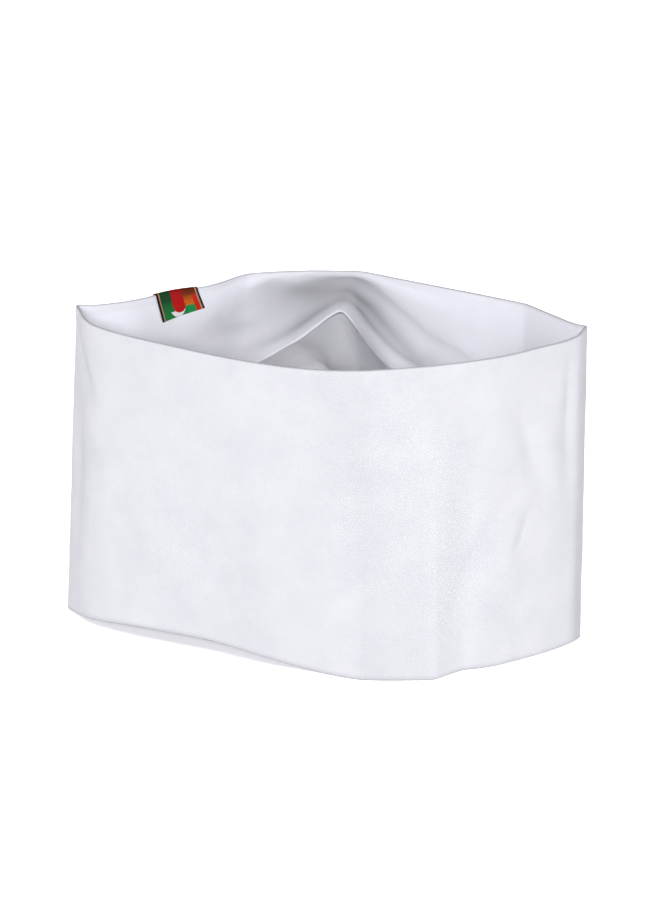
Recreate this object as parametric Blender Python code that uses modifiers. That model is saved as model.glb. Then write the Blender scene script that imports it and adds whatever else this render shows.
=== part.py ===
"""White cotton hill cap: a stiff band, an inset side, a sunken crown and a ribbon over the rim.

The cap stands on its hem. X runs from the front point (-X) to the back point (+X), the near
side faces -Y and Z is up. The origin is at the middle of the cap, on the plane it stands on.
The crown is longer than the opened band, so it stands up in the middle like a low tent and
drops towards both points. All sizes are in metres.
"""

import math
from collections import namedtuple

import bmesh
import bpy
import numpy as np

# The band
CAP_LENGTH = 0.198  # front point to back point, at the rim
HEM_LENGTH = 0.201  # the same at the hem, where the band flares a little
NEAR_BULGE = 0.096  # from the line between the points to the near side of the rim
FAR_BULGE = 0.092  # from the same line to the far side of the rim
BAND_HEIGHT = 0.120
BAND_WALL = 0.0012
TURNED_EDGE = 0.0015  # the hem and the rim stand upright over this height
BACK_POINT_LEAN = 0.010  # how much nearer the hem stands than the rim at the back point
FRONT_POINT_LEAN = 0.001
POINT_RISE = 0.0008  # how far the rim stands up at the two points

# The inset side hangs from the rim and carries the crown
INSET_WALL = 0.0010
LAYER_GAP = 0.0003
TIP_CLEARANCE = 0.0035  # between the band and the crown's seam at each point
FACING_DROP = 0.0035  # the inset side goes this far straight down before it turns inward

# The crown
CROWN_WIDTH = 0.094
CROWN_WALL = 0.0010
SEAM_GAP = 0.0004
TENT_TOP_DROP = 0.007  # rim to the crown at the tent's ridge
TENT_FALL = 0.030  # how far the crown falls from the ridge to its lower part
TIP_FALL = 0.010  # how much further it falls at the points
TENT_RUN_FRONT = 0.034  # length of the slope on the front side of the ridge
TENT_RUN_BACK = 0.019
RIDGE_RADIUS = 0.0025
SEAM_POINTEDNESS = 1.9  # 1 is an ellipse in plan, 2 is a lens with sharp points

# The ribbon
RIBBON_WIDTH = 0.023
RIBBON_WALL = 0.0006
RIBBON_AT = 0.819  # share of the far side's length, from the back point to the front point
RIBBON_HEM_CLEARANCE = 0.0015
RIBBON_TAIL_FRONT = 0.0112  # how far it goes down inside, at its front edge
RIBBON_TAIL_BACK = 0.0083
RIBBON_TAIL_LEAN = 0.40  # how far the tail drifts towards the back point, share of its drop

# How finely the surfaces are divided
COLUMNS_PER_SPAN = 3
BAND_ROWS = 9
INSET_ROWS = 6
CROWN_ROWS = 8
RIBBON_ROWS = 9
RIBBON_TAIL_ROWS = 4

Station = namedtuple("Station", "rim_along rim_out hem_along hem_out lift crease")
Fold = namedtuple("Fold", "side around up long wide turn depth")

# Stations along each side of the band, from the back point to the front point.
# rim_along, hem_along: share of half the length there. rim_out, hem_out: share of the side's bulge.
# lift: how far the hem stands off the table, share of the band's height.
# crease: 0 for a round stretch, 1 for a pressed crease.
FAR_STATIONS = [
    Station(0.955, 0.075, 0.965, 0.060, 0.0, 0.0),
    Station(0.846, 0.255, 0.865, 0.210, 0.0, 0.0),
    Station(0.741, 0.443, 0.765, 0.370, 0.0, 1.0),
    Station(0.573, 0.585, 0.593, 0.545, 0.0, 0.0),
    Station(0.300, 0.795, 0.310, 0.760, 0.0, 0.0),
    Station(0.040, 1.000, 0.035, 0.935, 0.0, 1.0),
    Station(-0.190, 0.960, -0.190, 0.900, 0.0, 0.0),
    Station(-0.410, 0.845, -0.410, 0.775, 0.0, 0.6),
    Station(-0.540, 0.550, -0.550, 0.555, 0.0, 0.0),
    Station(-0.660, 0.415, -0.675, 0.375, 0.0, 0.0),
    Station(-0.815, 0.165, -0.825, 0.170, 0.0, 0.0),
    Station(-0.925, 0.065, -0.930, 0.080, 0.0, 0.0),
]
NEAR_STATIONS = [
    Station(0.963, 0.198, 0.970, 0.200, 0.0, 0.0),
    Station(0.838, 0.420, 0.787, 0.507, 0.0, 0.0),
    Station(0.713, 0.609, 0.665, 0.650, 0.0, 0.0),
    Station(0.585, 0.740, 0.590, 0.700, 0.0, 0.5),
    Station(0.456, 0.845, 0.493, 0.872, 0.0, 1.0),
    Station(0.230, 0.975, 0.220, 0.922, 0.0, 0.6),
    Station(0.040, 1.000, 0.040, 0.833, 0.003, 0.0),
    Station(-0.180, 0.930, -0.170, 0.735, 0.023, 0.0),
    Station(-0.392, 0.797, -0.370, 0.595, 0.034, 0.0),
    Station(-0.583, 0.646, -0.563, 0.487, 0.036, 0.0),
    Station(-0.744, 0.510, -0.714, 0.393, 0.032, 0.0),
    Station(-0.901, 0.321, -0.880, 0.240, 0.016, 0.0),
]

# Soft folds in the band. around: place along the side, from the back point to the front point.
# up: height of the fold's middle, share of the band's height. long, wide: half sizes, share of
# the band's height. turn: degrees from upright, leaning back. depth: inward, share of the bulge.
BAND_FOLDS = [
    Fold("near", 0.915, 0.810, 0.26, 0.070, 24.0, 0.022),
    Fold("near", 0.140, 0.700, 0.26, 0.075, -26.0, 0.018),
    Fold("near", 0.235, 0.370, 0.26, 0.085, 28.0, 0.018),
    Fold("near", 0.050, 0.820, 0.28, 0.060, 0.0, 0.016),
    Fold("far", 0.330, 0.450, 0.30, 0.110, -14.0, 0.024),
    Fold("far", 0.640, 0.560, 0.30, 0.110, 16.0, 0.022),
]

HALF_LENGTH = CAP_LENGTH / 2
POINT_LINE = (NEAR_BULGE - FAR_BULGE) / 2  # centres the cap between its two sides
BULGE = {"far": FAR_BULGE, "near": -NEAR_BULGE}
RIM_THICKNESS = BAND_WALL + LAYER_GAP + INSET_WALL


def clear_scene():
    """Removes whatever the file opened with."""
    for thing in list(bpy.data.objects):
        bpy.data.objects.remove(thing, do_unlink=True)


def unit(vector):
    """The vector at length one."""
    return vector / max(np.linalg.norm(vector), 1e-12)


def knots(side, level):
    """Points of one side at the rim or the hem, back point to front point, and their creases."""
    stations = FAR_STATIONS if side == "far" else NEAR_STATIONS
    lean = (BACK_POINT_LEAN, FRONT_POINT_LEAN) if level == "hem" else (0.0, 0.0)
    tip = BAND_HEIGHT + POINT_RISE if level == "rim" else 0.0
    half = CAP_LENGTH / 2 if level == "rim" else HEM_LENGTH / 2
    points = [(half, POINT_LINE - lean[0], tip)]
    for s in stations:
        along, out = (s.rim_along, s.rim_out) if level == "rim" else (s.hem_along, s.hem_out)
        height = BAND_HEIGHT if level == "rim" else s.lift * BAND_HEIGHT
        points.append((along * half, POINT_LINE + out * BULGE[side], height))
    points.append((-half, POINT_LINE - lean[1], tip))
    return np.array(points), [1.0] + [s.crease for s in stations] + [1.0]


def direction(points, creases, index, span):
    """Direction of the outline at a knot, as it is met from the given span."""
    own = unit(points[span + 1] - points[span])
    if index in (0, len(points) - 1):
        return own
    before = unit(points[index] - points[index - 1])
    after = unit(points[index + 1] - points[index])
    return unit((1 - creases[index]) * unit(before + after) + creases[index] * own)


def outline(side, level, share):
    """Point of one side's outline, share 0 at the back point and 1 at the front point."""
    points, creases = knots(side, level)
    spans = len(points) - 1
    span = min(int(share * spans), spans - 1)
    t = share * spans - span
    chord = np.linalg.norm(points[span + 1] - points[span])
    start = direction(points, creases, span, span) * chord
    end = direction(points, creases, span + 1, span) * chord
    return (
        (2 * t**3 - 3 * t**2 + 1) * points[span]
        + (t**3 - 2 * t**2 + t) * start
        + (3 * t**2 - 2 * t**3) * points[span + 1]
        + (t**3 - t**2) * end
    )


def ribbon_edges():
    """Shares of the far side where the ribbon's back and front edges lie, by length along the rim."""
    shares = np.linspace(0.0, 1.0, 1201)
    points = np.array([outline("far", "rim", s) for s in shares])
    run = np.concatenate([[0.0], np.cumsum(np.linalg.norm(np.diff(points, axis=0), axis=1))])
    middle = RIBBON_AT * run[-1]
    return [float(np.interp(middle + d * RIBBON_WIDTH / 2, run, shares)) for d in (-1, 1)]


def column_shares():
    """Places of the mesh's columns along a side: the stations, even steps and the ribbon's edges."""
    spans = len(FAR_STATIONS) + 1
    steps = spans * COLUMNS_PER_SPAN
    edges = ribbon_edges()
    near_edge = 0.3 / steps
    even = [k / steps for k in range(steps + 1)]
    kept = [s for s in even if min(abs(s - e) for e in edges) > near_edge]
    return sorted(kept + edges)


def fold_depth(side, share, up):
    """How far the folds push the band inward there."""
    total = 0.0
    for fold in BAND_FOLDS:
        if fold.side != side:
            continue
        across = (share - fold.around) * 2.8 * HALF_LENGTH / BAND_HEIGHT
        rise = up - fold.up
        turn = math.radians(fold.turn)
        along = rise * math.cos(turn) + across * math.sin(turn)
        aside = across * math.cos(turn) - rise * math.sin(turn)
        total += fold.depth * math.exp(-((along / fold.long) ** 2) - (aside / fold.wide) ** 2)
    return total


def ring_columns(shares):
    """Side and share of each column, once round: the far side, then the near side back again."""
    far = [("far", s) for s in shares]
    near = [("near", s) for s in reversed(shares[1:-1])]
    return far + near


def inward(ring, distance):
    """The closed ring moved inward in plan by a distance, with its corners mitred."""
    after = np.roll(ring, -1, axis=0) - ring
    before = ring - np.roll(ring, 1, axis=0)
    normals = []
    for edge in (before, after):
        length = np.hypot(edge[:, 0], edge[:, 1])
        normals.append(np.stack([-edge[:, 1] / length, edge[:, 0] / length], axis=1))
    middle = normals[0] + normals[1]
    middle /= np.linalg.norm(middle, axis=1)[:, None]
    mitre = distance / np.sum(middle * normals[0], axis=1)
    moved = ring.copy()
    moved[:, :2] += middle * mitre[:, None]
    return moved


def band_grid(columns):
    """Outer face of the band: rows from the hem up to the rim, columns round the cap."""
    rim = np.array([outline(side, "rim", s) for side, s in columns])
    hem = np.array([outline(side, "hem", s) for side, s in columns])
    turned = TURNED_EDGE * np.array([0.0, 0.0, 1.0])
    rows = [hem, hem + turned]
    for row in range(1, BAND_ROWS):
        up = row / BAND_ROWS
        ring = hem + (rim - hem) * up
        pushed = inward(ring, 1.0) - ring
        fade = math.sin(math.pi * up) ** 0.5
        depths = np.array([fold_depth(side, s, up) * NEAR_BULGE * fade for side, s in columns])
        rows.append(ring + pushed * depths[:, None])
    return np.array(rows + [rim - turned, rim])


def tent_drop(along):
    """How far the crown's seam lies under the rim at a place along the cap."""
    run = TENT_RUN_BACK if along > 0 else TENT_RUN_FRONT
    away = math.hypot(along, RIDGE_RADIUS) - RIDGE_RADIUS
    return TENT_TOP_DROP + TENT_FALL * math.tanh(away / run) + TIP_FALL * (along / HALF_LENGTH) ** 4


def seam_point(side, share):
    """Point of the seam between the inset side and the crown."""
    tip = HALF_LENGTH - RIM_THICKNESS - TIP_CLEARANCE
    along = outline(side, "rim", share)[0] * tip / HALF_LENGTH
    out = CROWN_WIDTH / 2 * max(0.0, 1 - (along / tip) ** 2) ** (SEAM_POINTEDNESS / 2)
    sign = 1.0 if side == "far" else -1.0
    return np.array([along, sign * out, BAND_HEIGHT - tent_drop(along)])


def inset_grid(columns):
    """Face of the inset side that shows: rows from the rim in to the seam, columns round the cap."""
    rim = np.array([outline(side, "rim", s) for side, s in columns])
    top = inward(rim, RIM_THICKNESS)
    seam = np.array([seam_point(side, s) for side, s in columns])
    turn = top + (seam - top) * [0.0, 0.0, 0.45]
    reach = np.array([0.05 + 0.40 * abs(math.cos(math.pi * s)) for _, s in columns])
    turn[:, :2] += (seam - top)[:, :2] * reach[:, None]
    turn[:, 2] = np.minimum(turn[:, 2], top[:, 2] - FACING_DROP)
    rows = []
    for row in range(INSET_ROWS + 1):
        t = (row / INSET_ROWS) ** 1.25
        rows.append((1 - t) ** 2 * top + 2 * t * (1 - t) * turn + t**2 * seam)
    return np.array(rows)


def crown_grid(shares):
    """Upper face of the crown: rows from the near seam to the far seam, columns back to front."""
    rows = []
    near = np.array([seam_point("near", s) for s in shares])
    far = np.array([seam_point("far", s) for s in shares])
    span = far - near
    width = np.maximum(np.linalg.norm(span, axis=1), 1e-9)
    for row in range(CROWN_ROWS + 1):
        t = row / CROWN_ROWS
        keep = np.clip(1 - 2 * SEAM_GAP / width, 0.0, 1.0)
        rows.append(near + span * (0.5 + (t - 0.5) * keep)[:, None])
    return np.array(rows)


def normals_of(grid):
    """Unit normals of an open grid, from the cross product of its row and column directions."""
    along_rows = np.gradient(grid, axis=0)
    along_columns = np.gradient(grid, axis=1)
    cross = np.cross(along_columns, along_rows)
    return cross / np.linalg.norm(cross, axis=2)[:, :, None]


def polyline_point(points, length):
    """Point at a length along a row of points."""
    steps = np.linalg.norm(np.diff(points, axis=0), axis=1)
    run = np.concatenate([[0.0], np.cumsum(steps)])
    return np.array([np.interp(length, run, points[:, axis]) for axis in range(3)])


def surface_point(grid, run, place, drop):
    """Point of a grid at a place along its top row and at a length down its columns from there."""
    after = min(max(int(np.searchsorted(run, place)), 1), len(run) - 1)
    part = (place - run[after - 1]) / (run[after] - run[after - 1])
    back = polyline_point(grid[:, after - 1], drop)
    front = polyline_point(grid[:, after], drop)
    return back + (front - back) * part


def ribbon_grid(columns, band, inset):
    """Inner face of the ribbon: from the hem up the band, over the rim and down the inset side."""
    edges = ribbon_edges()
    chosen = [
        k for k, (side, s) in enumerate(columns)
        if side == "far" and edges[0] - 1e-9 <= s <= edges[1] + 1e-9
    ]
    first, last = chosen[0], chosen[-1]
    wide = list(range(first - 1, last + 2))
    outside = (band[:, wide] + LAYER_GAP * normals_of(band[:, wide]))[:, 1:-1]
    far = [k for k, (side, s) in enumerate(columns) if side == "far"]
    inside = inset[:, far] + LAYER_GAP * normals_of(inset[:, far])
    steps = np.linalg.norm(np.diff(band[-1, far], axis=0), axis=1)
    run = np.concatenate([[0.0], np.cumsum(steps)])
    rim = band[-1, first:last + 1]
    across = inset[0, first:last + 1] - rim
    across /= np.linalg.norm(across, axis=1)[:, None]
    up = np.array([0.0, 0.0, 1.0])
    grid = []
    for k in range(len(chosen)):
        path = []
        start = RIBBON_HEM_CLEARANCE
        length = np.linalg.norm(outside[-1, k] - outside[0, k])
        for row in range(RIBBON_ROWS):
            path.append(polyline_point(outside[:, k], start + (length - start) * row / RIBBON_ROWS))
        corners = [(rim[k], (180, 135, 90)), (inset[0, first + k], (90, 45, 0))]
        for corner, angles in corners:
            for angle in angles:
                turn = math.radians(angle)
                arc = math.cos(turn) * across[k] + math.sin(turn) * up
                path.append(corner + LAYER_GAP * arc)
        share = k / (len(chosen) - 1)
        tail = RIBBON_TAIL_BACK + (RIBBON_TAIL_FRONT - RIBBON_TAIL_BACK) * share
        for row in range(1, RIBBON_TAIL_ROWS + 1):
            drop = tail * row / RIBBON_TAIL_ROWS
            place = run[first + k] - RIBBON_TAIL_LEAN * drop
            path.append(surface_point(inside, run, place, drop))
        grid.append(path)
    return np.array(grid).transpose(1, 0, 2)


def sheet_object(name, grid, closed, wall, material, folder):
    """An object lofted through the rows of a grid, and thickened behind that face by its wall."""
    rows, columns = grid.shape[:2]
    mesh = bpy.data.meshes.new(name)
    net = bmesh.new()
    verts = [[net.verts.new(tuple(p)) for p in row] for row in grid]
    around = columns if closed else columns - 1
    for r in range(rows - 1):
        for c in range(around):
            n = (c + 1) % columns
            corners = (verts[r][c], verts[r][n], verts[r + 1][n], verts[r + 1][c])
            net.faces.new(corners)
    bmesh.ops.remove_doubles(net, verts=net.verts, dist=1e-5)
    net.to_mesh(mesh)
    net.free()
    mesh.shade_smooth()
    mesh.set_sharp_from_angle(angle=math.radians(40))
    thing = bpy.data.objects.new(name, mesh)
    thing.data.materials.append(material)
    folder.objects.link(thing)
    solid = thing.modifiers.new("wall", "SOLIDIFY")
    solid.thickness = wall
    solid.offset = -1.0
    solid.use_even_offset = True
    return thing


def cloth_material(name, colour, roughness):
    """A plain cloth finish."""
    material = bpy.data.materials.new(name)
    material.use_nodes = True
    shader = material.node_tree.nodes["Principled BSDF"]
    shader.inputs["Base Color"].default_value = (*colour, 1.0)
    shader.inputs["Roughness"].default_value = roughness
    shader.inputs["Metallic"].default_value = 0.0
    return material


def main():
    clear_scene()
    cap = bpy.data.collections.new("pahadi_cap")
    bpy.context.scene.collection.children.link(cap)
    cotton = cloth_material("white_cotton", (0.86, 0.87, 0.90), 0.9)
    satin = cloth_material("ribbon_satin", (0.62, 0.05, 0.03), 0.4)

    shares = column_shares()
    columns = ring_columns(shares)
    band = band_grid(columns)
    inset = inset_grid(columns)
    crown = crown_grid(shares)
    ribbon = ribbon_grid(columns, band, inset)

    sheet_object("band", band, True, BAND_WALL, cotton, cap)
    sheet_object("inset_side", inset, True, INSET_WALL, cotton, cap)
    sheet_object("crown", crown[:, ::-1], False, CROWN_WALL, cotton, cap)
    sheet_object("ribbon", ribbon[:, ::-1], False, RIBBON_WALL, satin, cap)


main()
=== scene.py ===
"""The white hill cap as it stands in the photograph: cloth surfaces, seams, ribbon, light and camera.

Everything is in metres in the part's own frame. The outline follows the same stations as the
part's solids, at a finer spacing, with the soft folds that the cloth shows added.
"""

import math

import bmesh
import bpy
import numpy as np
from mathutils import Matrix, Vector


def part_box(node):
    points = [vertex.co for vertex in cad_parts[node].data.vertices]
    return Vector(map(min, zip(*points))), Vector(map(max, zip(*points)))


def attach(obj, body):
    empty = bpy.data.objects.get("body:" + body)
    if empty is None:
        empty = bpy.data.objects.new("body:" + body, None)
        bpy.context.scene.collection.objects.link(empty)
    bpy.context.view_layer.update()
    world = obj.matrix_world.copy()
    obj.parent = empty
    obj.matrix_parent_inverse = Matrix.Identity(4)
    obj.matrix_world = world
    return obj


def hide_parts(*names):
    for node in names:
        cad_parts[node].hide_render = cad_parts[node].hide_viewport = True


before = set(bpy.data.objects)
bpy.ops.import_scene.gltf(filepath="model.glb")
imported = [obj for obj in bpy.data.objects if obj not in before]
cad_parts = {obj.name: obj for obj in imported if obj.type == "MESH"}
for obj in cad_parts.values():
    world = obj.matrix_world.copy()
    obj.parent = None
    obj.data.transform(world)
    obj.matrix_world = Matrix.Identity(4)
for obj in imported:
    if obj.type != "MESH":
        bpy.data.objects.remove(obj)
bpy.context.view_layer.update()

# Sizes in metres, as in the part's source, or read from the frame where it holds them
BAND_LOW, BAND_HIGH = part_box("band")
POINT_RISE = 0.0008
HALF_LENGTH = 0.099
HALF_HEM_LENGTH = (BAND_HIGH[0] - BAND_LOW[0]) / 2
BAND_HEIGHT = BAND_HIGH[2] - POINT_RISE
POINT_LINE = 0.002
BULGE = {"far": 0.092, "near": -0.096}
BACK_POINT_LEAN = 0.010
FRONT_POINT_LEAN = 0.001
BAND_WALL = 0.0012
LAYER_GAP = 0.0003
INSET_WALL = 0.0010
TIP_CLEARANCE = 0.0035
CROWN_WIDTH = 0.094
CROWN_WALL = 0.0010
TENT_TOP_DROP = 0.007
TENT_FALL = 0.030
TIP_FALL = 0.010
TENT_RUN_FRONT = 0.034
TENT_RUN_BACK = 0.019
RIDGE_RADIUS = 0.0025
SEAM_POINTEDNESS = 1.9
RIBBON_WIDTH = 0.023
RIBBON_AT = 0.819
RIBBON_TAIL_FRONT = 0.0112
RIBBON_TAIL_BACK = 0.0083
RIBBON_TAIL_LEAN = 0.40
RIM_THICKNESS = BAND_WALL + LAYER_GAP + INSET_WALL

# Stations along each side, back point to front point: rim along, rim out, hem along, hem out,
# hem lift, crease. The lengths are shares of half the length there, the bulge and the height.
FAR_STATIONS = [
    (0.955, 0.075, 0.965, 0.060, 0.0, 0.0),
    (0.846, 0.255, 0.865, 0.210, 0.0, 0.0),
    (0.741, 0.443, 0.765, 0.370, 0.0, 1.0),
    (0.573, 0.585, 0.593, 0.545, 0.0, 0.0),
    (0.300, 0.795, 0.310, 0.760, 0.0, 0.0),
    (0.040, 1.000, 0.035, 0.935, 0.0, 1.0),
    (-0.190, 0.960, -0.190, 0.900, 0.0, 0.0),
    (-0.410, 0.845, -0.410, 0.775, 0.0, 0.6),
    (-0.540, 0.550, -0.550, 0.555, 0.0, 0.0),
    (-0.660, 0.415, -0.675, 0.375, 0.0, 0.0),
    (-0.815, 0.165, -0.825, 0.170, 0.0, 0.0),
    (-0.925, 0.065, -0.930, 0.080, 0.0, 0.0),
]
NEAR_STATIONS = [
    (0.963, 0.198, 0.970, 0.200, 0.0, 0.0),
    (0.838, 0.420, 0.787, 0.507, 0.0, 0.0),
    (0.713, 0.609, 0.665, 0.650, 0.0, 0.0),
    (0.585, 0.740, 0.590, 0.700, 0.0, 0.5),
    (0.456, 0.845, 0.493, 0.872, 0.0, 1.0),
    (0.230, 0.975, 0.220, 0.922, 0.0, 0.6),
    (0.040, 1.000, 0.040, 0.833, 0.003, 0.0),
    (-0.180, 0.930, -0.170, 0.735, 0.023, 0.0),
    (-0.392, 0.797, -0.370, 0.595, 0.034, 0.0),
    (-0.583, 0.646, -0.563, 0.487, 0.036, 0.0),
    (-0.744, 0.510, -0.714, 0.393, 0.032, 0.0),
    (-0.901, 0.321, -0.880, 0.240, 0.016, 0.0),
]
SPANS = len(FAR_STATIONS) + 1
CREASE_SHARPNESS = 0.9

# How finely the surfaces are cut: columns for each span between stations, and rows of each piece.
COLUMNS_A_SPAN = 18
BAND_ROWS = 84
EDGE_TURN_ROWS = 5
STRIP_ROWS = 14
BEND_ROWS = 18
FALL_ROWS = 28
CROWN_ROWS = 40
RIBBON_COLUMNS = 30
RIBBON_TURN_ROWS = 10
RIBBON_TAIL_ROWS = 22

# Folds and dents in the band, as places on its face: side, x and z of the middle in mm, half
# length and half width in mm, degrees from upright (leaning towards +X), depth inward in mm.
BAND_FOLDS = [
    ("near", -92, 98, 17, 3.6, -30, 1.6),
    ("near", -95, 62, 34, 4.0, 2, 1.0),
    ("near", -84, 76, 20, 5.0, -14, -0.9),
    ("near", -72, 100, 16, 8.0, -24, 0.7),
    ("near", 81, 84, 17, 3.8, -18, 1.9),
    ("near", 88, 78, 20, 4.5, -6, -1.0),
    ("near", 66, 48, 22, 4.5, 26, 1.4),
    ("near", 73, 40, 26, 5.0, 22, -0.8),
    ("near", 60, 106, 10, 7.0, 30, 0.7),
    ("near", 94, 96, 24, 2.6, 0, 1.3),
    ("near", 79, 50, 10, 2.6, 22, 1.1),
    ("near", 74, 54, 12, 4.0, -14, -0.8),
    ("near", 46, 84, 22, 9.0, 8, 0.5),
    ("near", -50, 70, 12, 8.0, 20, 0.6),
    ("near", -42, 46, 10, 6.0, 0, 0.5),
    ("near", -70, 40, 18, 9.0, 10, 0.6),
    ("near", 2, 100, 14, 12.0, 60, 0.5),
    ("far", 60, 60, 30, 8.0, -14, 1.2),
    ("far", 30, 74, 26, 7.0, 12, 0.8),
    ("far", -20, 66, 34, 9.0, 14, 1.4),
    ("far", -34, 40, 22, 6.0, -20, 0.8),
    ("far", -78, 58, 26, 6.0, 16, 0.9),
    ("far", 84, 50, 30, 5.0, 6, 0.8),
]

# Slow waves all over the band: height in mm, seed, wave length in metres, octaves.
BAND_WAVES = [(0.16, 11, 0.055, 3), (0.05, 12, 0.012, 2)]
# The rim and the hem waver by this much in mm, and the folds fade out over this share of the height.
EDGE_WAVER = 0.10
EDGE_WAVER_SEED = 5
EDGE_WAVER_LENGTH = 0.030
EDGE_FADE = 0.05
# A fold's width along x shrinks where the outline runs away from the camera, but not below this.
LEAST_SLOPE = 0.25

# Painted shade on the band, up to 1: along the rim's turn and the hem's, and at the crease at the
# back point, from this far along in metres.
RIM_SHADE = 0.75
HEM_SHADE = 0.8
HEM_LINE_SHADE = 0.4
CREASE_SHADE = 0.45
CREASE_START = 0.0955
CREASE_BLEND = 0.0035


def mix(a, b, t):
    return a + (b - a) * t


def smooth(t):
    t = np.clip(t, 0.0, 1.0)
    return t * t * (3 - 2 * t)


def unit(v):
    return v / np.maximum(np.linalg.norm(v, axis=-1, keepdims=True), 1e-12)


def knots(side, level):
    """The stations' points at the rim or the hem, and how creased each one is."""
    rim = level == "rim"
    height = BAND_HEIGHT if rim else 0.0
    tip = height + POINT_RISE if rim else 0.0
    back, front = (0.0, 0.0) if rim else (BACK_POINT_LEAN, FRONT_POINT_LEAN)
    half = HALF_LENGTH if rim else HALF_HEM_LENGTH
    points = [(half, POINT_LINE - back, tip)]
    creases = [1.0]
    for s in FAR_STATIONS if side == "far" else NEAR_STATIONS:
        along, out = (s[0], s[1]) if rim else (s[2], s[3])
        z = height if rim else s[4] * BAND_HEIGHT
        points.append((along * half, POINT_LINE + out * BULGE[side], z))
        creases.append(s[5])
    points.append((-half, POINT_LINE - front, tip))
    return np.array(points), np.array(creases + [1.0])


def outline(side, level, shares):
    """Points of one side's outline at many shares, 0 at the back point and 1 at the front one."""
    p, crease = knots(side, level)
    chord = np.diff(p, axis=0)
    length = np.linalg.norm(chord, axis=1)[:, None]
    own = chord / length
    both = unit(own[:-1] + own[1:])
    crease = crease[1:-1, None] * CREASE_SHARPNESS
    start = np.vstack([own[:1], unit(mix(both, own[1:], crease))]) * length
    end = np.vstack([unit(mix(both, own[:-1], crease)), own[-1:]]) * length
    shares = np.asarray(shares, float)
    span = np.minimum((shares * SPANS).astype(int), SPANS - 1)
    t = (shares * SPANS - span)[:, None]
    return (
        (2 * t**3 - 3 * t**2 + 1) * p[span]
        + (t**3 - 2 * t**2 + t) * start[span]
        + (3 * t**2 - 2 * t**3) * p[span + 1]
        + (t**3 - t**2) * end[span]
    )


def ring(level, shares):
    """The closed outline: far side back to front, then the near side front to back."""
    far = outline("far", level, shares)
    near = outline("near", level, shares[::-1])
    return np.vstack([far, near[1:-1]])


def soften(points, passes):
    """The closed row of points with its sharp corners eased."""
    out = points.copy()
    for _ in range(passes):
        near = (np.roll(out, 1, axis=0) + np.roll(out, -1, axis=0)) / 2
        out = out + (near - out) * 0.5
    return out


def side_normals(points):
    """Outward level normals of a closed counterclockwise outline."""
    run = np.roll(points, -1, axis=0) - np.roll(points, 1, axis=0)
    n = np.stack([run[:, 1], -run[:, 0], np.zeros(len(run))], axis=1)
    return unit(n)


def running(points):
    """Distance along a row of points from its first one."""
    return np.concatenate([[0.0], np.cumsum(np.linalg.norm(np.diff(points, axis=0), axis=-1))])


def noise_wave(x, seed, scale):
    """A smooth wandering value along x, always the same for one seed."""
    rng = np.random.default_rng(seed)
    total = np.zeros_like(x)
    for k in range(3):
        f = 2**k / scale
        total += np.sin(x * f * 2 * math.pi * rng.uniform(0.8, 1.25) + rng.uniform(0, 6.28)) / 2**k
    return total / 1.75


def surface_noise(u, v, seed, scale, octaves):
    """Smooth bumps over a surface whose sizes are given in metres."""
    rng = np.random.default_rng(seed)
    total = np.zeros_like(u)
    for k in range(octaves):
        f = 2**k / scale
        for _ in range(3):
            turn = rng.uniform(0, math.pi)
            phase = rng.uniform(0, 6.28)
            along = u * math.cos(turn) + v * math.sin(turn)
            total += np.sin(along * f * 2 * math.pi + phase) / 2**k / 3
    return total


def grid_mesh(name, grid, closed_columns, closed_rows=False, uv=None):
    """A mesh through a grid of points, with its lengths kept as a UV map in metres."""
    rows, columns = grid.shape[:2]
    verts = grid.reshape(-1, 3)
    r = np.arange(rows if closed_rows else rows - 1)
    c = np.arange(columns if closed_columns else columns - 1)
    rr, cc = np.meshgrid(r, c, indexing="ij")
    r2, c2 = (rr + 1) % rows, (cc + 1) % columns
    low, high = rr * columns, r2 * columns
    faces = np.stack([low + cc, low + c2, high + c2, high + cc], axis=-1)
    mesh = bpy.data.meshes.new(name)
    mesh.from_pydata(verts.tolist(), [], faces.reshape(-1, 4).tolist())
    if uv is not None:
        layer = mesh.uv_layers.new(name="cloth")
        corners = [(rr, cc), (rr, cc + 1), (rr + 1, cc + 1), (rr + 1, cc)]
        values = np.stack([uv[row, column] for row, column in corners], axis=2)
        layer.data.foreach_set("uv", values.reshape(-1))
    mesh.shade_smooth()
    thing = bpy.data.objects.new(name, mesh)
    bpy.context.scene.collection.objects.link(thing)
    return thing


def paint_shade(thing, values):
    """Keeps how much painted shade each point has, from 0 to 1, for the cotton's colour."""
    layer = thing.data.attributes.new("edge", "FLOAT", "POINT")
    layer.data.foreach_set("value", np.asarray(values, float).reshape(-1))


def lengths(grid):
    """Distances along the columns and rows of a grid, one more of each than the grid has."""
    rows, columns = grid.shape[:2]
    around = np.linalg.norm(np.roll(grid, -1, axis=1) - grid, axis=2).mean(axis=0)
    u = np.concatenate([[0.0], np.cumsum(around)])
    up = np.linalg.norm(np.roll(grid, -1, axis=0) - grid, axis=2).mean(axis=1)
    v = np.concatenate([[0.0], np.cumsum(up)])
    uu, vv = np.meshgrid(u, v)
    return np.stack([uu, vv], axis=-1)


STEPS = SPANS * COLUMNS_A_SPAN
SHARES = np.linspace(0.0, 1.0, STEPS + 1)
NEAR_COLUMNS = np.array([False] * (STEPS + 1) + [True] * (STEPS - 1))
RIM = soften(ring("rim", SHARES), 3)
HEM = soften(ring("hem", SHARES), 3)


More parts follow.
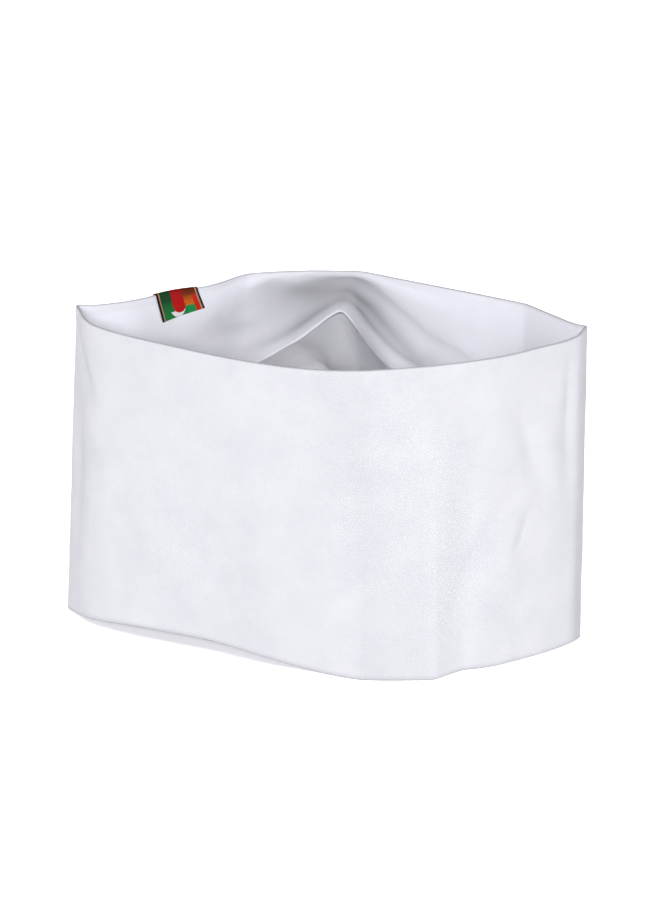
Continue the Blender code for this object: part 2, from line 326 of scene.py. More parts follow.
def band_face():
    """The band's outer face, hem to rim, with its folds."""
    up = np.linspace(0.0, 1.0, BAND_ROWS + 1)
    grid = HEM[None] + (RIM - HEM)[None] * up[:, None, None]
    normals = side_normals((RIM + HEM) / 2)
    x, z = grid[..., 0] * 1000, grid[..., 2] * 1000
    depth = np.zeros(x.shape)
    slope = np.abs(normals[:, 1])[None] + LEAST_SLOPE
    for side, fx, fz, long, wide, turn, deep in BAND_FOLDS:
        mask = NEAR_COLUMNS == (side == "near")
        a = math.radians(turn)
        dx, dz = (x - fx) / slope, z - fz
        along = dz * math.cos(a) + dx * math.sin(a)
        aside = dx * math.cos(a) - dz * math.sin(a)
        bump = np.exp(-((along / long) ** 2) - (aside / wide) ** 2)
        depth += deep * bump * mask[None]
    run = running(RIM)
    uu = np.broadcast_to(run[None], x.shape)
    for height, seed, scale, octaves in BAND_WAVES:
        depth += height * surface_noise(uu, grid[..., 2], seed, scale, octaves)
    fade = smooth(up / EDGE_FADE) * smooth((1 - up) / EDGE_FADE)
    edge = EDGE_WAVER * noise_wave(run, EDGE_WAVER_SEED, EDGE_WAVER_LENGTH)
    depth = depth * fade[:, None] + edge[None] * (1 - fade[:, None])
    return grid - normals[None] * depth[..., None] / 1000


def half_turn(middle, out, radius):
    """Rows round half a turn, from the side that out points to, over the top, to the other."""
    angles = math.pi * np.arange(1, EDGE_TURN_ROWS) / EDGE_TURN_ROWS
    return [middle + out * radius * math.cos(a) + np.array([0, 0, radius * math.sin(a)]) for a in angles]


def turned_profile(face, wall):
    """The face with its wall's thickness: over a round rim, down inside and round the hem."""
    normals = side_normals(face.mean(axis=0))
    r = wall / 2
    outer = face.copy()
    lift = np.linspace(0.0, 1.0, len(face))
    outer[:, :, 2] += r * (1 - lift)[:, None] - r * lift[:, None]
    inner = outer[::2] - normals[None] * wall
    over_rim = half_turn(outer[-1] - normals * r, normals, r)
    under_hem = half_turn(outer[0] - normals * r, normals, -r)
    return np.array([*outer, *over_rim, *inner[::-1], *under_hem])


def band_painted_shade(shell, face_rows):
    """How much painted shade the band has at every point: along its edges, and at the crease at its back
    point.
    """
    painted_shade = np.zeros(shell.shape[:2])
    painted_shade[face_rows:face_rows + EDGE_TURN_ROWS - 1] = RIM_SHADE
    painted_shade[1 - EDGE_TURN_ROWS:] = HEM_SHADE
    painted_shade[0] = HEM_LINE_SHADE
    crease = smooth((shell[..., 0] - CREASE_START) / CREASE_BLEND)
    return np.maximum(painted_shade, CREASE_SHADE * crease)


def tent_drop(along, radius=RIDGE_RADIUS):
    """How far the crown lies under the rim at places along the cap."""
    run = np.where(along > 0, TENT_RUN_BACK, TENT_RUN_FRONT)
    away = np.hypot(along, radius) - radius
    return TENT_TOP_DROP + TENT_FALL * np.tanh(away / run) + TIP_FALL * (along / HALF_LENGTH) ** 4


def seam(side, shares):
    """The seam between the inset side and the crown."""
    tip = HALF_LENGTH - RIM_THICKNESS - TIP_CLEARANCE
    along = outline(side, "rim", shares)[:, 0] * tip / HALF_LENGTH
    out = CROWN_WIDTH / 2 * np.maximum(0.0, 1 - (along / tip) ** 2) ** (SEAM_POINTEDNESS / 2)
    sign = 1.0 if side == "far" else -1.0
    return np.stack([along, sign * out, BAND_HEIGHT - tent_drop(along)], axis=1)


def seam_ring(shares):
    return np.vstack([seam("far", shares), seam("near", shares[::-1])[1:-1]])


SEAM = soften(seam_ring(SHARES), 2)

# Depth of the steep strip under the rim, in mm, at places along the cap (x in mm).
FACING = [
    (-99, 13.0), (-85, 12.0), (-67.5, 12.0), (-54.6, 9.5), (-46, 5.0), (-33, 2.0), (-18, 1.3),
    (1.4, 1.4), (7.4, 1.8), (13, 3.3), (22, 7.5), (35, 12.0), (48, 16.0), (60, 22.0), (75, 29.0),
    (99, 33.0),
]

# Folds in the inset side round the tent's foot: side, points (x, distance from the seam) in mm,
# half width and height in mm.
INSET_FOLDS = [
    ("far", [(7, 8), (14, 7.5), (21, 6), (30, 5)], 4.6, 2.2),
    ("far", [(6, 30), (14, 26), (22, 22), (30, 17)], 5.5, -1.2),
    ("far", [(17.5, 34), (30, 26), (42, 21), (54, 17)], 4.5, 0.9),
    ("far", [(-20, 42), (-12, 36), (-5, 30), (2, 27)], 7.0, -1.6),
    ("far", [(-10, 7), (0, 6), (5, 6.5)], 5.0, 0.8),
    ("far", [(-3, 5), (-12, 5), (-22, 5), (-32, 5)], 3.6, 0.8),
    ("far", [(-12, 13), (-20, 13), (-30, 14), (-40, 15)], 4.5, -0.9),
    ("far", [(-56, 26), (-47, 27), (-38, 26)], 5.0, -0.8),
    ("far", [(-62, 15), (-52, 15), (-42, 17)], 5.0, 0.8),
    ("near", [(2, 2.6), (20, 2.6), (60, 2.6)], 1.3, 0.8),
    ("near", [(-2, 2.6), (-20, 2.6), (-60, 2.6)], 1.3, 0.8),
    ("near", [(4, 22), (18, 16), (40, 10)], 4.5, -1.8),
    ("near", [(-6, 20), (-22, 15), (-44, 10)], 4.5, -1.6),
]

# Where shade is painted on the inset side: side, points as above, half width in mm and how much
# shade, up to 1.
INSET_PAINTED_SHADE = [
    ("far", [(-14, 36), (-6, 27), (1, 20), (5, 22)], 9.5, 0.45),
    ("far", [(-16, 12), (-6, 10), (9, 10)], 6.0, 0.5),
    ("far", [(4, 26), (12, 24), (19, 20), (25, 16), (32, 11), (38, 8)], 6.5, 0.52),
    ("far", [(-12, 13), (-22, 13), (-32, 14)], 5.0, 0.15),
    ("far", [(-55, 22), (-40, 22), (-25, 24), (-16, 18)], 13.0, 0.22),
    ("far", [(80, 20), (96, 20)], 14.0, 0.42),
]

# The folds flatten over this many mm next to the crown's seam and next to the rim.
SEAM_FADE = 1.5
RIM_FADE = 4

# The inset side's run in metres: where it leaves the band, and the face's least distance from the
# band's outer one. Then shares: the strip's lean, the bend's longest part of the strip and of the
# fall to the seam, and how far the fall swells.
INSET_TOP_IN = 0.0001
INSET_TOP_DROP = 0.0005
INSET_LEAST_IN = BAND_WALL + 0.0002
STRIP_LEAN = 0.10
STRIP_LEAN_MOST = 0.4
BEND_OF_STRIP = 0.75
BEND_OF_FALL = 0.4
BEND_MOST = 0.009
FALL_SWELL = 0.07
# Slow waves over the inset side and the crown: seed, wave length in metres, octaves. The height is
# in mm on the inset side and in metres on the crown.
INSET_WAVES = (21, 0.045, 3)
INSET_WAVE_HEIGHT = 0.25
CROWN_WAVES = (31, 0.045, 3)
CROWN_WAVE_HEIGHT = 0.0004

# Thickness of the inset side's and the ribbon's cloth behind the face that shows.
INSET_BACK = 0.0006
RIBBON_BACK = 0.0004


def path_distance(x, d, path):
    """Distance of every point (x, d) from a path of short straight runs."""
    best = np.full(x.shape, 1e9)
    for (x0, d0), (x1, d1) in zip(path[:-1], path[1:]):
        run = (x1 - x0) ** 2 + (d1 - d0) ** 2
        t = np.clip(((x - x0) * (x1 - x0) + (d - d0) * (d1 - d0)) / run, 0, 1)
        best = np.minimum(best, np.hypot(x - x0 - t * (x1 - x0), d - d0 - t * (d1 - d0)))
    return best


def seam_distance(grid):
    """Distance of every point of the inset side from the crown's seam, in mm."""
    step = np.linalg.norm(np.diff(grid, axis=0), axis=2)
    from_below = np.cumsum(step[::-1], axis=0)[::-1]
    return np.concatenate([from_below, np.zeros((1, grid.shape[1]))]) * 1000


def along_paths(x, to_seam, table):
    """The sum of a table's rows at every point, each one strongest along its path."""
    total = np.zeros(x.shape)
    for side, path, wide, strength in table:
        mask = NEAR_COLUMNS == (side == "near")
        total += strength * np.exp(-((path_distance(x, to_seam, path) / wide) ** 2)) * mask
    return total


def inset_folds(grid):
    """Height of the inset side's folds at every point, in metres."""
    to_seam = seam_distance(grid)
    height = along_paths(grid[..., 0] * 1000, to_seam, INSET_FOLDS)
    from_rim = to_seam[:1] - to_seam
    return height * smooth(to_seam / SEAM_FADE) * smooth(from_rim / RIM_FADE) / 1000


def facing_depth(along):
    """Depth of the steep strip under the rim, in metres."""
    x, depth = zip(*FACING)
    fine = np.linspace(-0.1, 0.1, 401)
    values = np.interp(fine * 1000, x, depth)
    reach = 8
    kernel = np.exp(-(np.linspace(-2, 2, 2 * reach + 1) ** 2))
    padded = np.concatenate([[values[0]] * reach, values, [values[-1]] * reach])
    values = np.convolve(padded, kernel / kernel.sum(), mode="valid")
    return np.interp(along, fine, values) / 1000


def keep_inside(grid, face):
    """Push the inset side in where the band's folds would come through it."""
    normals = side_normals(RIM)
    for column in range(grid.shape[1]):
        height = face[:, column, 2]
        outer = [np.interp(grid[:, column, 2], height, face[:, column, axis]) for axis in (0, 1)]
        away = (np.array(outer).T - grid[:, column, :2]) @ normals[column, :2]
        push = np.maximum(INSET_LEAST_IN - away, 0.0)
        grid[:, column] -= normals[column] * push[:, None]
    return grid


def inset_face(face):
    """The face of the inset side that shows, from the rim in to the crown's seam."""
    normals = side_normals(RIM)
    top = RIM - normals * (BAND_WALL + INSET_TOP_IN)
    top[:, 2] -= INSET_TOP_DROP
    depth = facing_depth(RIM[:, 0])[:, None]
    up = np.array([0.0, 0.0, 1.0])
    to_seam = SEAM - top
    to_seam[:, 2] = 0.0
    lean_most = STRIP_LEAN_MOST * np.linalg.norm(to_seam, axis=1)[:, None]
    lean = np.minimum(depth * STRIP_LEAN, lean_most)
    corner = top + unit(to_seam) * lean - up * depth
    strip, fall = corner - top, SEAM - corner
    strip_long = np.linalg.norm(strip, axis=1)[:, None]
    fall_long = np.linalg.norm(fall, axis=1)[:, None]
    bend = np.minimum(np.minimum(BEND_OF_STRIP * strip_long, BEND_OF_FALL * fall_long), BEND_MOST)
    a = corner - strip / strip_long * bend
    b = corner + fall / fall_long * bend
    rows = [top + (a - top) * t for t in np.linspace(0, 1, STRIP_ROWS + 1)[:-1]]
    for t in np.linspace(0, 1, BEND_ROWS + 1)[:-1]:
        rows.append((1 - t) ** 2 * a + 2 * t * (1 - t) * corner + t * t * b)
    swell = FALL_SWELL * (fall_long - bend)
    for t in np.linspace(0, 1, FALL_ROWS + 1):
        rows.append(b + (SEAM - b) * t + up * swell * math.sin(math.pi * t) * (1 - t) ** 0.5)
    grid = np.array(rows)
    tt = np.broadcast_to(np.linspace(0, 1, len(grid))[:, None], grid.shape[:2])
    uu = np.broadcast_to(running(RIM)[None], grid.shape[:2])
    waves = surface_noise(uu, tt * 0.05, *INSET_WAVES)
    lift = INSET_WAVE_HEIGHT * waves * np.sin(math.pi * tt)
    grid[..., 2] += lift / 1000 + inset_folds(grid)
    return keep_inside(grid, face)


def wall_behind(thing, thickness):
    """Gives the cloth its thickness on the side that doesn't show."""
    solid = thing.modifiers.new("wall", "SOLIDIFY")
    solid.thickness = thickness
    solid.offset = -1.0
    solid.use_even_offset = True


# The crown's own shape: how far it starts under the seam, the ridge's softer radius away from the
# seam, and a dent across the slope right of the ridge (depth, half width, place in half widths).
CROWN_SEAM_GAP = 0.0003
SOFT_RIDGE_RADIUS = 0.010
CROWN_DENT = 0.0010
CROWN_DENT_HALF = 0.012
CROWN_DENT_PLACE = 0.9


def crown_face():
    """The crown's upper face, ruled from the near seam to the far seam."""
    near, far = seam("near", SHARES), seam("far", SHARES)
    t = np.linspace(0.0, 1.0, CROWN_ROWS + 1)[:, None, None]
    grid = near[None] * (1 - t) + far[None] * t
    grid[..., 2] -= CROWN_SEAM_GAP
    u, v = grid[..., 0], grid[..., 1]
    tt = np.broadcast_to(t[..., 0], u.shape)
    middle = np.minimum(1.0, 4.5 * tt * (1 - tt)) ** 0.8
    waves = surface_noise(u, v, *CROWN_WAVES)
    grid[..., 2] += (tent_drop(u) - tent_drop(u, SOFT_RIDGE_RADIUS)) * middle
    grid[..., 2] += CROWN_WAVE_HEIGHT * waves * np.sin(math.pi * tt)
    grid[..., 2] -= CROWN_DENT * np.exp(-((u / CROWN_DENT_HALF - CROWN_DENT_PLACE) ** 2)) * middle
    return grid[:, ::-1]


class Nodes:
    """Short ways to add and join shader nodes in one material."""

    def __init__(self, name):
        self.material = bpy.data.materials.new(name)
        self.material.use_nodes = True
        self.tree = self.material.node_tree
        self.shader = self.tree.nodes["Principled BSDF"]

    def add(self, kind, settings=None, **inputs):
        node = self.tree.nodes.new(kind)
        for key, value in (settings or {}).items():
            setattr(node, key, value)
        for key, value in inputs.items():
            self.set(node, key, value)
        return node

    def set(self, node, key, value):
        """Sets or joins an input, given by its name or as i0, i1 and so on."""
        by_number = key[0] == "i" and key[1:].isdigit()
        place = node.inputs[int(key[1:])] if by_number else node.inputs[key]
        if isinstance(value, bpy.types.NodeSocket):
            self.tree.links.new(value, place)
        else:
            place.default_value = value

    def math(self, operation, a, b=0.0, c=0.0):
        node = self.add("ShaderNodeMath", {"operation": operation}, i0=a, i1=b)
        if operation == "MULTIPLY_ADD":
            self.set(node, "i2", c)
        return node.outputs[0]

    def colour_mix(self, factor, a, b, blend="MIX"):
        node = self.add("ShaderNodeMix", {"data_type": "RGBA", "blend_type": blend})
        self.set(node, "i0", factor)
        self.set(node, "i6", a)
        self.set(node, "i7", b)
        return node.outputs[2]

    def ramp(self, value, stops):
        node = self.add("ShaderNodeValToRGB", i0=value)
        ramp = node.color_ramp
        while len(ramp.elements) < len(stops):
            ramp.elements.new(0.5)
        for element, (place, colour) in zip(ramp.elements, stops):
            element.position = place
            element.color = (*colour, 1.0)
        return node.outputs[0]

    def cloth_uv(self):
        """The UV map in metres, whole and as its two parts."""
        uv = self.add("ShaderNodeUVMap", {"uv_map": "cloth"}).outputs[0]
        parts = self.add("ShaderNodeSeparateXYZ", i0=uv)
        return uv, parts.outputs[0], parts.outputs[1]

    def noise(self, uv, scale, detail, roughness=0.5):
        node = self.add("ShaderNodeTexNoise", Vector=uv, Scale=scale, Detail=detail, Roughness=roughness)
        return node.outputs[0]

    def threads(self, along, spacing):
        """A wave between -1 and 1 that repeats with the threads' spacing in metres."""
        return self.math("SINE", self.math("MULTIPLY", along, 2 * math.pi / spacing))

    def times(self, value, factor):
        return self.math("MULTIPLY", value, factor)

    def length(self, a, b):
        """The length of a vector with two parts."""
        squares = self.math("ADD", self.math("MULTIPLY", a, a), self.math("MULTIPLY", b, b))
        return self.math("SQRT", squares)


# Cotton cloth: base colour, the same in its shade, spacing of the twill's ribs and depth of the
# weave in metres. The inner cloth's weave is finer and shallower, and its colours are lighter and
# bluer: painted light, for light that the inside of the cap doesn't get.
BAND_COTTON = ((0.86, 0.862, 0.89, 1.0), (0.70, 0.702, 0.745, 1.0), 0.00085, 0.00010)
LIGHTENED_INNER_COTTON = ((0.93, 0.93, 0.985, 1.0), (0.82, 0.82, 0.89, 1.0), 0.00062, 0.00005)
# The painted shade's colour, and how far it is mixed into the cotton at most.
PAINTED_SHADE_COLOUR = (0.36, 0.362, 0.40, 1.0)
PAINTED_SHADE_MOST = 0.65
RIB_SLANT = 0.82
RIB_WANDER = 0.00016
THREAD_SPACING = 0.62
THREAD_HEIGHT = 0.45


def cotton_material(name, colour, shade, twill, depth):
    """Bleached cotton twill: diagonal ribs crossed by threads, with slubs, soft random greying and
    painted shade.
    """
    n = Nodes(name)
    uv, u, v = n.cloth_uv()
    wander = n.noise(uv, 220.0, 2.0)
    diagonal = n.math("ADD", n.times(u, RIB_SLANT), v)
    diagonal = n.math("ADD", diagonal, n.times(wander, RIB_WANDER))
    rib = n.threads(diagonal, twill)
    thread = n.threads(u, twill * THREAD_SPACING)
    weave = n.math("ADD", rib, n.times(thread, THREAD_HEIGHT))
    fibre = n.noise(uv, 2600.0, 3.0, 0.7)
    slub = n.noise(uv, 420.0, 4.0, 0.65)
    height = n.math("ADD", weave, n.times(fibre, 0.9))
    height = n.math("ADD", height, n.times(slub, 1.4))
    soft = n.noise(uv, 55.0, 4.0, 0.55)
    tone = n.math("MULTIPLY_ADD", weave, 0.10, 0.5)
    tone = n.math("ADD", tone, n.times(n.math("SUBTRACT", fibre, 0.5), 0.6))
    tone = n.math("ADD", tone, n.times(n.math("SUBTRACT", soft, 0.5), 0.9))
    base = n.colour_mix(tone, shade, colour)
    # Painted shade: the edge attribute mixes the colour towards the painted shade colour.
    painted_shade = n.add("ShaderNodeAttribute", {"attribute_name": "edge"}).outputs[2]
    base = n.colour_mix(n.times(painted_shade, PAINTED_SHADE_MOST), base, PAINTED_SHADE_COLOUR)
    n.set(n.shader, "Base Color", base)
    n.set(n.shader, "Roughness", n.math("MULTIPLY_ADD", slub, 0.12, 0.82))
    bump = n.add("ShaderNodeBump", Strength=0.55, Distance=depth, Height=height)
    n.set(n.shader, "Normal", bump.outputs[0])
    n.set(n.shader, "Sheen Weight", 0.25)
    n.set(n.shader, "Sheen Roughness", 0.5)
    n.set(n.shader, "Specular IOR Level", 0.2)
    return n.material


# The ribbon's pattern in metres: tongues of red with a pale end, between green and orange. The
# middle is a share of the width.
PATTERN_LENGTH = 0.026
TONGUE_MIDDLE = 0.50
TONGUE_HALF_WIDTH = 0.0032
TONGUE_STRAIGHT = 0.0070
TONGUE_BORDER = 0.0013
PALE_START = 1.6 * TONGUE_BORDER
RIBBON_BLUR = 0.0008
# Shares of the width: where the orange and the scarlet begin, and half widths of the line and of
# the dark edge.
ORANGE_START = 0.64
SCARLET_START = 0.83
LINE_START = 0.43
EDGE_START = 0.46
RIBBON_THREADS = (0.00032, 0.00045)

# Colours of the stripes from the middle of a tongue, 0, to the end of its half of the pattern, 1.
GREEN_STOPS = [
    (0.0, (0.004, 0.045, 0.010)),
    (0.30, (0.004, 0.050, 0.012)),
    (0.60, (0.005, 0.15, 0.030)),
    (1.0, (0.008, 0.22, 0.045)),
]
ORANGE_STOPS = [
    (0.0, (0.075, 0.010, 0.003)),
    (0.22, (0.16, 0.020, 0.003)),
    (0.45, (0.50, 0.095, 0.008)),
    (0.60, (0.55, 0.130, 0.010)),
    (0.64, (0.010, 0.24, 0.06)),
    (1.0, (0.010, 0.24, 0.06)),
]
RED_STOPS = [(0.0, (0.26, 0.002, 0.002)), (0.5, (0.46, 0.002, 0.002)), (1.0, (0.46, 0.002, 0.002))]
SCARLET = (0.52, 0.018, 0.006, 1.0)
SCARLET_PLACE = 0.30
PALE = (0.78, 0.76, 0.77, 1.0)
LINE_COLOUR = (0.46, 0.22, 0.15, 1.0)
DARK_EDGE = (0.010, 0.007, 0.007, 1.0)


def ribbon_material():
    """Satin ribbon, woven with tongues of red on green and orange between dark edges."""
    n = Nodes("ribbon_satin_stripes")
    uv, u, v = n.cloth_uv()
    fleck = n.noise(uv, 1800.0, 3.0)
    blur = n.times(n.math("SUBTRACT", fleck, 0.5), RIBBON_BLUR)
    across = n.math("DIVIDE", n.math("ADD", u, blur), RIBBON_WIDTH)

    repeat = n.math("ADD", n.math("DIVIDE", v, PATTERN_LENGTH), 20.5)
    away = n.math("ABSOLUTE", n.math("SUBTRACT", n.math("FRACT", repeat), 0.5))
    away = n.math("ADD", n.times(away, PATTERN_LENGTH), blur)
    place = n.math("DIVIDE", away, PATTERN_LENGTH / 2)
    right_part = n.math("GREATER_THAN", across, ORANGE_START)
    colour = n.colour_mix(right_part, n.ramp(place, GREEN_STOPS), n.ramp(place, ORANGE_STOPS))
    far_right = n.math("GREATER_THAN", across, SCARLET_START)
    scarlet = n.math("MULTIPLY", far_right, n.math("GREATER_THAN", place, SCARLET_PLACE))
    colour = n.colour_mix(scarlet, colour, SCARLET)

    sideways = n.times(n.math("SUBTRACT", across, TONGUE_MIDDLE), RIBBON_WIDTH)
    beyond = n.math("MAXIMUM", n.math("SUBTRACT", away, TONGUE_STRAIGHT), 0.0)
    reach = n.length(sideways, beyond)
    around = n.length(n.math("ADD", sideways, TONGUE_BORDER), beyond)
    border = n.math("LESS_THAN", around, TONGUE_HALF_WIDTH + TONGUE_BORDER)
    pale = n.math("MULTIPLY", border, n.math("GREATER_THAN", beyond, PALE_START))
    colour = n.colour_mix(pale, colour, PALE)
    tongue = n.math("LESS_THAN", reach, TONGUE_HALF_WIDTH)
    colour = n.colour_mix(tongue, colour, n.ramp(place, RED_STOPS))

    edge = n.math("ABSOLUTE", n.math("SUBTRACT", across, 0.5))
    past_line = n.math("GREATER_THAN", edge, LINE_START)
    line = n.math("MULTIPLY", past_line, n.math("LESS_THAN", edge, EDGE_START))
    colour = n.colour_mix(line, colour, LINE_COLOUR)
    colour = n.colour_mix(n.math("GREATER_THAN", edge, EDGE_START), colour, DARK_EDGE)
    tone = n.math("MULTIPLY_ADD", fleck, 0.6, 0.7)
    tones = n.add("ShaderNodeCombineXYZ", X=tone, Y=tone, Z=tone).outputs[0]
    n.set(n.shader, "Base Color", n.colour_mix(1.0, colour, tones, "MULTIPLY"))
    n.set(n.shader, "Roughness", n.math("MULTIPLY_ADD", fleck, 0.2, 0.34))

    weft = n.threads(v, RIBBON_THREADS[0])
    warp = n.threads(u, RIBBON_THREADS[1])
    height = n.math("ADD", n.times(weft, 0.7), n.times(warp, 0.5))
    bump = n.add("ShaderNodeBump", Strength=0.5, Distance=0.00004, Height=height)
    n.set(n.shader, "Normal", bump.outputs[0])
    n.set(n.shader, "Specular IOR Level", 0.06)
    return n.material


def floor_material():
    n = Nodes("pale_floor")
    n.set(n.shader, "Base Color", (0.93, 0.93, 0.94, 1.0))
    n.set(n.shader, "Roughness", 0.9)
    return n.material


# The ribbon in metres: how far its face stands off the cloth, how far under the rim its turn has
# its middle and how far it rises from there, and where the tail starts on the inset side.
RIBBON_STAND = 0.0005
RIBBON_TURN_DROP = 0.0008
RIBBON_TURN_RISE = 0.0013
RIBBON_TAIL_START = 0.0012


def far_rim_run():
    """Shares of the far side's stations, and the rim's length up to each."""
    shares = np.linspace(0, 1, 2401)
    return shares, running(outline("far", "rim", shares))


def ribbon_face(band, inset):
    """The ribbon's outer face, from the hem up the band, over the rim and down the inset side."""
    shares, run = far_rim_run()
    middle = RIBBON_AT * run[-1]
    edges = middle + np.linspace(-0.5, 0.5, RIBBON_COLUMNS + 1) * RIBBON_WIDTH

    def pick(grid, places):
        picks = np.interp(places, run, shares) * STEPS
        low = np.floor(picks).astype(int)
        part = (picks - low)[..., None]
        rows = np.arange(len(grid))[:, None]
        return grid[rows, low] * (1 - part) + grid[rows, low + 1] * part

    def stand_off(grid):
        along = np.gradient(grid, axis=0)
        side = np.gradient(grid, axis=1)
        return grid + unit(np.cross(side, along)) * RIBBON_STAND

    outer = stand_off(pick(band, np.broadcast_to(edges, (len(band), len(edges)))))
    straight = pick(inset, np.broadcast_to(edges, (len(inset), len(edges))))
    drops = np.linalg.norm(np.diff(straight, axis=0), axis=2).mean(axis=1)
    drops = np.minimum(np.concatenate([[0.0], np.cumsum(drops)]), 2 * RIBBON_TAIL_FRONT)
    inner = stand_off(pick(inset, edges[None] - RIBBON_TAIL_LEAN * drops[:, None]))
    out_dir = unit(outer[-1] - inner[0])
    out_dir[:, 2] = 0.0
    out_dir = unit(out_dir)
    columns = []
    for k in range(len(edges)):
        path = list(outer[1:-2, k])
        width = np.linalg.norm((outer[-1, k] - inner[0, k])[:2])
        centre = (outer[-1, k] + inner[0, k]) / 2
        centre[2] = BAND_HEIGHT - RIBBON_TURN_DROP
        for step in range(1, RIBBON_TURN_ROWS):
            a = math.pi * step / RIBBON_TURN_ROWS
            rise = np.array([0, 0, math.sin(a) * RIBBON_TURN_RISE])
            path.append(centre + out_dir[k] * math.cos(a) * width / 2 + rise)
        tail = mix(RIBBON_TAIL_BACK, RIBBON_TAIL_FRONT, k / RIBBON_COLUMNS)
        along = running(inner[:, k])
        for length in np.linspace(RIBBON_TAIL_START, tail, RIBBON_TAIL_ROWS):
            path.append(np.array([np.interp(length, along, inner[:, k, axis]) for axis in range(3)]))
        columns.append(path)
    return np.array(columns).transpose(1, 0, 2)


def straight_uv(grid, width):
    """UV of the ribbon in metres: across from its front edge, along from the top of the rim."""
    step = np.linalg.norm(np.diff(grid, axis=0), axis=2).mean(axis=1)
    v = np.concatenate([[0.0], np.cumsum(step)])
    v -= v[grid[..., 2].mean(axis=1).argmax()]
    uu, vv = np.meshgrid(np.linspace(width, 0, grid.shape[1]), v)
    return np.stack([uu, vv], axis=-1)


def finish_piece(thing, material, nodes):
    thing.data.materials.append(material)
    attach(thing, "root")
    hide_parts(*nodes)


# The photograph's view: degrees to the side, above the horizon and of turn in the picture, the
# distance in metres, and the lens and the picture's height in the photo's pixels.
VIEW_SIDE = 5
VIEW_UP = 13
VIEW_TURN = 1.34
VIEW_DISTANCE = 2.5
VIEW_MIDDLE = (0.002, -0.008, 0.060)
VIEW_SHIFT = 25
LENS_PIXELS = 6500
PICTURE_PIXELS = 900


def add_camera():
    """The photograph's view, through a long lens."""
    a, e, r = math.radians(VIEW_SIDE), math.radians(VIEW_UP), math.radians(VIEW_TURN)
    back = Vector((math.sin(a) * math.cos(e), -math.cos(a) * math.cos(e), math.sin(e)))
    right0 = Vector((math.cos(a), math.sin(a), 0.0))
    up0 = back.cross(right0)
    right = right0 * math.cos(r) + up0 * math.sin(r)
    up = up0 * math.cos(r) - right0 * math.sin(r)
    target = Vector(VIEW_MIDDLE) + up * (VIEW_SHIFT * VIEW_DISTANCE / LENS_PIXELS)
    data = bpy.data.cameras.new("camera")
    data.sensor_fit = "AUTO"
    data.sensor_width = 36.0
    data.lens = data.sensor_width * LENS_PIXELS / PICTURE_PIXELS
    data.clip_end = 50
    camera = bpy.data.objects.new("camera", data)
    turn = Matrix((right, up, back)).transposed().to_4x4()
    camera.matrix_world = Matrix.Translation(target + back * VIEW_DISTANCE) @ turn
    bpy.context.scene.collection.objects.link(camera)
    bpy.context.scene.camera = camera


def add_light(name, place, aim, size, watts):
    data = bpy.data.lights.new(name, "AREA")
    data.shape = "RECTANGLE"
    data.size, data.size_y = size
    data.energy = watts
    lamp = bpy.data.objects.new(name, data)
    lamp.location = place
    lamp.rotation_mode = "QUATERNION"
    lamp.rotation_quaternion = (Vector(aim) - Vector(place)).to_track_quat("-Z", "Y")
    bpy.context.scene.collection.objects.link(lamp)
    return lamp


# Strength of the soft light that comes down from all round, and of the light off the pale floor.
# The one turns into the other over a narrow band round the horizon.
SKY_GLOW = 0.14
FLOOR_GLOW = 0.56
GLOW_COLOUR = (0.92, 0.92, 1.0, 1.0)
HORIZON_HALF = 0.10
# Lamps on the cap: name, place, size in metres, watts. All point at the cap's middle.
SOFTBOXES = [
    ("front_softbox", (-0.12, -2.67, 0.80), (1.2, 0.36), 61),
    ("left_softbox", (-2.70, -0.20, 0.36), (1.0, 0.5), 21),
    ("right_softbox", (2.70, 0.20, 0.36), (1.0, 0.5), 38),
    ("back_softbox", (0.3, 2.60, 0.70), (1.4, 1.0), 18),
]
LAMP_AIM = (0, 0, 0.06)
# Lamps on the floor alone: name, height, watts, whether the cap throws a shadow in their light.
TABLE_LAMPS = [
    ("table_lamp", 2.5, 240, False),
    ("table_shadow_lamp", 2.0, 15, True),
]
TABLE_LAMP_SIZE = (5.0, 5.0)
TABLE_LAMP_BACK = 0.4
FLOOR_HALF = 6.0


def add_floor():
    mesh = bpy.data.meshes.new("floor")
    net = bmesh.new()
    bmesh.ops.create_grid(net, x_segments=1, y_segments=1, size=FLOOR_HALF)
    net.to_mesh(mesh)
    net.free()
    floor = bpy.data.objects.new("floor", mesh)
    mesh.materials.append(floor_material())
    bpy.context.scene.collection.objects.link(floor)
    floor.visible_diffuse = False
    return floor


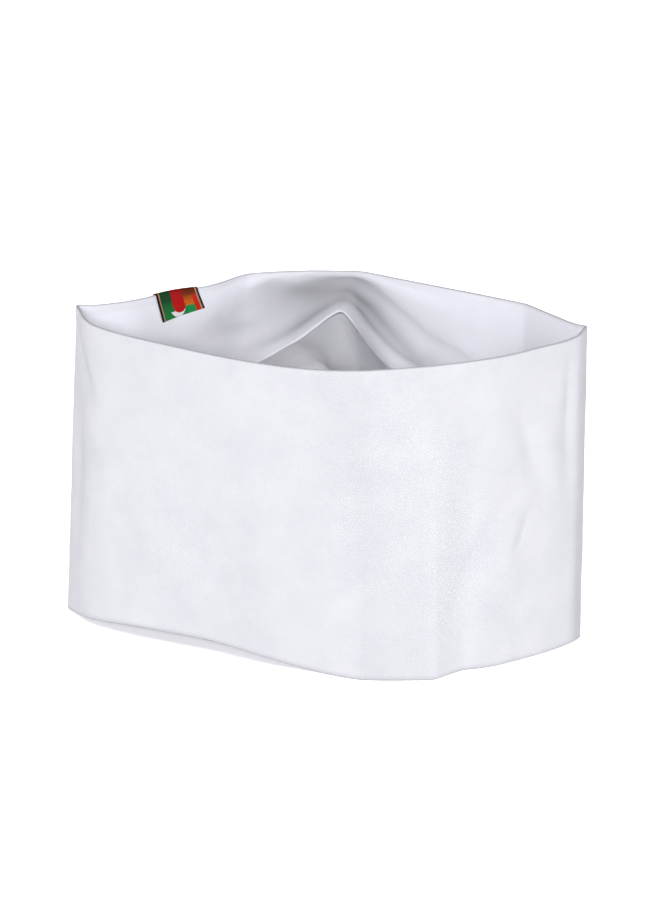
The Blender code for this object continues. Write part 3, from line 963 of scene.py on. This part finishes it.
def add_glow():
    """The soft light from all round: dim from above and brighter from the floor's side."""
    world = bpy.data.worlds.new("world")
    world.use_nodes = True
    tree = world.node_tree
    way = tree.nodes.new("ShaderNodeTexCoord").outputs["Generated"]
    split = tree.nodes.new("ShaderNodeSeparateXYZ")
    tree.links.new(way, split.inputs[0])
    ramp = tree.nodes.new("ShaderNodeMapRange")
    tree.links.new(split.outputs[2], ramp.inputs["Value"])
    ramp.inputs["From Min"].default_value = -HORIZON_HALF
    ramp.inputs["From Max"].default_value = HORIZON_HALF
    ramp.inputs["To Min"].default_value = FLOOR_GLOW
    ramp.inputs["To Max"].default_value = SKY_GLOW
    tree.links.new(ramp.outputs[0], tree.nodes["Background"].inputs[1])
    tree.nodes["Background"].inputs[0].default_value = GLOW_COLOUR
    bpy.context.scene.world = world


def add_studio():
    """A pale floor, a soft glow, four softboxes, and lamps that light the floor alone."""
    floor = add_floor()
    add_glow()
    bpy.context.scene.view_settings.view_transform = "Standard"
    for name, place, size, watts in SOFTBOXES:
        add_light(name, place, LAMP_AIM, size, watts)
    lit = bpy.data.collections.new("lit_by_table_lamps")
    lit.objects.link(floor)
    for name, height, watts, shadows in TABLE_LAMPS:
        under = (0, TABLE_LAMP_BACK, 0)
        lamp = add_light(name, (0, TABLE_LAMP_BACK, height), under, TABLE_LAMP_SIZE, watts)
        lamp.light_linking.receiver_collection = lit
        lamp.data.use_shadow = shadows


def main():
    cotton = cotton_material("white_cotton_twill", *BAND_COTTON)
    # The inner cloth is a lighter, bluer copy of the cotton: painted light for the cap's inside.
    inner_cotton = cotton_material("inner_cotton_twill", *LIGHTENED_INNER_COTTON)
    face = band_face()
    shell = turned_profile(face, BAND_WALL)
    band = grid_mesh("band_cloth", shell, True, True, lengths(shell))
    # Painted shade along the band's rim, hem and the crease at its back point.
    paint_shade(band, band_painted_shade(shell, len(face)))
    finish_piece(band, cotton, ["band"])

    inset = inset_face(face)
    inset_cloth = grid_mesh("inset_side_cloth", inset, True, False, lengths(inset))
    # Painted shade on the inset side.
    painted_shade = along_paths(inset[..., 0] * 1000, seam_distance(inset), INSET_PAINTED_SHADE)
    paint_shade(inset_cloth, painted_shade)
    wall_behind(inset_cloth, INSET_BACK)
    finish_piece(inset_cloth, inner_cotton, ["inset_side"])

    crown = crown_face()
    crown_cloth = grid_mesh("crown_cloth", crown, False, False, lengths(crown))
    wall_behind(crown_cloth, CROWN_WALL)
    finish_piece(crown_cloth, inner_cotton, ["crown"])

    strip = ribbon_face(face, inset)
    ribbon = grid_mesh("ribbon_strip", strip, False, False, straight_uv(strip, RIBBON_WIDTH))
    wall_behind(ribbon, RIBBON_BACK)
    finish_piece(ribbon, ribbon_material(), ["ribbon"])

    add_camera()
    add_studio()


main()
